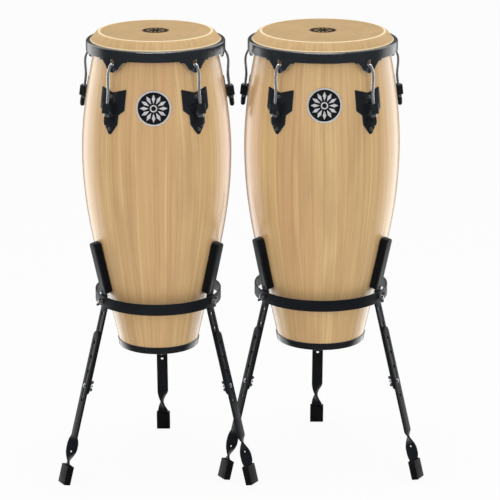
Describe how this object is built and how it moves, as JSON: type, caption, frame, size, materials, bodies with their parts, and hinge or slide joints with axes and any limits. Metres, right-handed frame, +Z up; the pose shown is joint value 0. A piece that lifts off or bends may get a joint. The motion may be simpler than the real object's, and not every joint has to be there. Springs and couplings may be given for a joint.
{
  "type": "conga drum pair",
  "caption": "Stave-built conga drums with rawhide heads, tension hooks and lugs, each lifting out of a basket stand with sliding flat-bar legs.",
  "frame": {"origin": "middle of the box that the pair covers, on the floor", "axes": "+Z up; the small drum is on the -X side, the large one on the +X side, and the badges face -Y"},
  "size_m": [0.821, 0.4618, 1.004],
  "materials": {
    "natural_wood": "clear satin lacquer over light hardwood staves",
    "rawhide": "smooth pale rawhide",
    "black_steel": "black powder coat, satin",
    "black_rubber": "matt black rubber",
    "black_cap": "black, semi-gloss",
    "black_screw": "blackened steel",
    "chromed_rod": "bright plated steel",
    "zinc_steel": "zinc-plated steel",
    "badge_silver": "satin aluminium",
    "badge_black": "gloss black enamel"
  },
  "bodies": {
    "root": {"small_ring": "black_steel", "small_uprights": "black_steel", "small_pads": "black_rubber", "small_ring_bolts": "zinc_steel", "small_leg_bolts": "zinc_steel", "large_ring": "black_steel", "large_uprights": "black_steel", "large_pads": "black_rubber", "large_ring_bolts": "zinc_steel", "large_leg_bolts": "zinc_steel"},
    "small_drum": {"small_shell": "natural_wood", "small_base_ring": "black_steel", "small_head": "rawhide", "small_head_hoop": "zinc_steel", "small_rim": "black_steel", "small_tension_hooks": "chromed_rod", "small_tuning_washers": "zinc_steel", "small_tuning_nuts": "black_cap", "small_lug_plates": "black_steel", "small_lug_bolts": "black_screw", "small_backing_plates": "black_steel", "small_badge_bezel": "badge_silver", "small_badge_disc": "badge_black"},
    "small_leg_rear": {"small_lower_leg_rear": "black_steel", "small_boot_rear": "black_rubber"},
    "small_ring_nut_rear": {"small_ring_nut_rear": "zinc_steel"},
    "small_leg_nut_rear": {"small_leg_nut_rear": "zinc_steel"},
    "small_leg_left": {"small_lower_leg_left": "black_steel", "small_boot_left": "black_rubber"},
    "small_ring_nut_left": {"small_ring_nut_left": "zinc_steel"},
    "small_leg_nut_left": {"small_leg_nut_left": "zinc_steel"},
    "small_leg_right": {"small_lower_leg_right": "black_steel", "small_boot_right": "black_rubber"},
    "small_ring_nut_right": {"small_ring_nut_right": "zinc_steel"},
    "small_leg_nut_right": {"small_leg_nut_right": "zinc_steel"},
    "large_drum": {"large_shell": "natural_wood", "large_base_ring": "black_steel", "large_head": "rawhide", "large_head_hoop": "zinc_steel", "large_rim": "black_steel", "large_tension_hooks": "chromed_rod", "large_tuning_washers": "zinc_steel", "large_tuning_nuts": "black_cap", "large_lug_plates": "black_steel", "large_lug_bolts": "black_screw", "large_backing_plates": "black_steel", "large_badge_bezel": "badge_silver", "large_badge_disc": "badge_black"},
    "large_leg_rear": {"large_lower_leg_rear": "black_steel", "large_boot_rear": "black_rubber"},
    "large_ring_nut_rear": {"large_ring_nut_rear": "zinc_steel"},
    "large_leg_nut_rear": {"large_leg_nut_rear": "zinc_steel"},
    "large_leg_left": {"large_lower_leg_left": "black_steel", "large_boot_left": "black_rubber"},
    "large_ring_nut_left": {"large_ring_nut_left": "zinc_steel"},
    "large_leg_nut_left": {"large_leg_nut_left": "zinc_steel"},
    "large_leg_right": {"large_lower_leg_right": "black_steel", "large_boot_right": "black_rubber"},
    "large_ring_nut_right": {"large_ring_nut_right": "zinc_steel"},
    "large_leg_nut_right": {"large_leg_nut_right": "zinc_steel"}
  },
  "joints": [
    {"name": "small_drum_lift", "type": "slide", "parent": "root", "child": "small_drum", "axis": [0, 0, 1], "range_m": [0, 0.35]},
    {"name": "small_leg_slide_rear", "type": "slide", "parent": "root", "child": "small_leg_rear", "axis": [0, 0.2538, -0.9673], "range_m": [-0.0335, 0.1005]},
    {"name": "small_ring_nut_turn_rear", "type": "hinge", "parent": "root", "child": "small_ring_nut_rear", "pos_m": [-0.18596, 0.07426, 0.411], "axis": [0, 1, 0], "continuous": true},
    {"name": "small_leg_nut_turn_rear", "type": "hinge", "parent": "root", "child": "small_leg_nut_rear", "pos_m": [-0.18596, 0.11231, 0.21987], "axis": [0, -0.9673, -0.2538], "continuous": true},
    {"name": "small_leg_slide_left", "type": "slide", "parent": "root", "child": "small_leg_left", "axis": [-0.2198, -0.1269, -0.9673], "range_m": [-0.0335, 0.1005]},
    {"name": "small_ring_nut_turn_left", "type": "hinge", "parent": "root", "child": "small_ring_nut_left", "pos_m": [-0.30739, -0.13606, 0.411], "axis": [-0.866, -0.5, 0], "continuous": true},
    {"name": "small_leg_nut_turn_left", "type": "hinge", "parent": "root", "child": "small_leg_nut_left", "pos_m": [-0.34034, -0.15509, 0.21987], "axis": [0.8377, 0.4836, -0.2538], "continuous": true},
    {"name": "small_leg_slide_right", "type": "slide", "parent": "root", "child": "small_leg_right", "axis": [0.2198, -0.1269, -0.9673], "range_m": [-0.0335, 0.1005]},
    {"name": "small_ring_nut_turn_right", "type": "hinge", "parent": "root", "child": "small_ring_nut_right", "pos_m": [-0.06453, -0.13606, 0.411], "axis": [0.866, -0.5, 0], "continuous": true},
    {"name": "small_leg_nut_turn_right", "type": "hinge", "parent": "root", "child": "small_leg_nut_right", "pos_m": [-0.03158, -0.15509, 0.21987], "axis": [-0.8377, 0.4836, -0.2538], "continuous": true},
    {"name": "large_drum_lift", "type": "slide", "parent": "root", "child": "large_drum", "axis": [0, 0, 1], "range_m": [0, 0.35]},
    {"name": "large_leg_slide_rear", "type": "slide", "parent": "root", "child": "large_leg_rear", "axis": [0, 0.2538, -0.9673], "range_m": [-0.0335, 0.1005]},
    {"name": "large_ring_nut_turn_rear", "type": "hinge", "parent": "root", "child": "large_ring_nut_rear", "pos_m": [0.17804, 0.12174, 0.411], "axis": [0, 1, 0], "continuous": true},
    {"name": "large_leg_nut_turn_rear", "type": "hinge", "parent": "root", "child": "large_leg_nut_rear", "pos_m": [0.17804, 0.15983, 0.21987], "axis": [0, -0.9673, -0.2538], "continuous": true},
    {"name": "large_leg_slide_left", "type": "slide", "parent": "root", "child": "large_leg_left", "axis": [-0.2198, -0.1269, -0.9673], "range_m": [-0.0335, 0.1005]},
    {"name": "large_ring_nut_turn_left", "type": "hinge", "parent": "root", "child": "large_ring_nut_left", "pos_m": [0.04872, -0.10224, 0.411], "axis": [-0.866, -0.5, 0], "continuous": true},
    {"name": "large_leg_nut_turn_left", "type": "hinge", "parent": "root", "child": "large_leg_nut_left", "pos_m": [0.01574, -0.12129, 0.21987], "axis": [0.8377, 0.4836, -0.2538], "continuous": true},
    {"name": "large_leg_slide_right", "type": "slide", "parent": "root", "child": "large_leg_right", "axis": [0.2198, -0.1269, -0.9673], "range_m": [-0.0335, 0.1005]},
    {"name": "large_ring_nut_turn_right", "type": "hinge", "parent": "root", "child": "large_ring_nut_right", "pos_m": [0.30736, -0.10224, 0.411], "axis": [0.866, -0.5, 0], "continuous": true},
    {"name": "large_leg_nut_turn_right", "type": "hinge", "parent": "root", "child": "large_leg_nut_right", "pos_m": [0.34034, -0.12129, 0.21987], "axis": [-0.8377, 0.4836, -0.2538], "continuous": true}
  ]
}
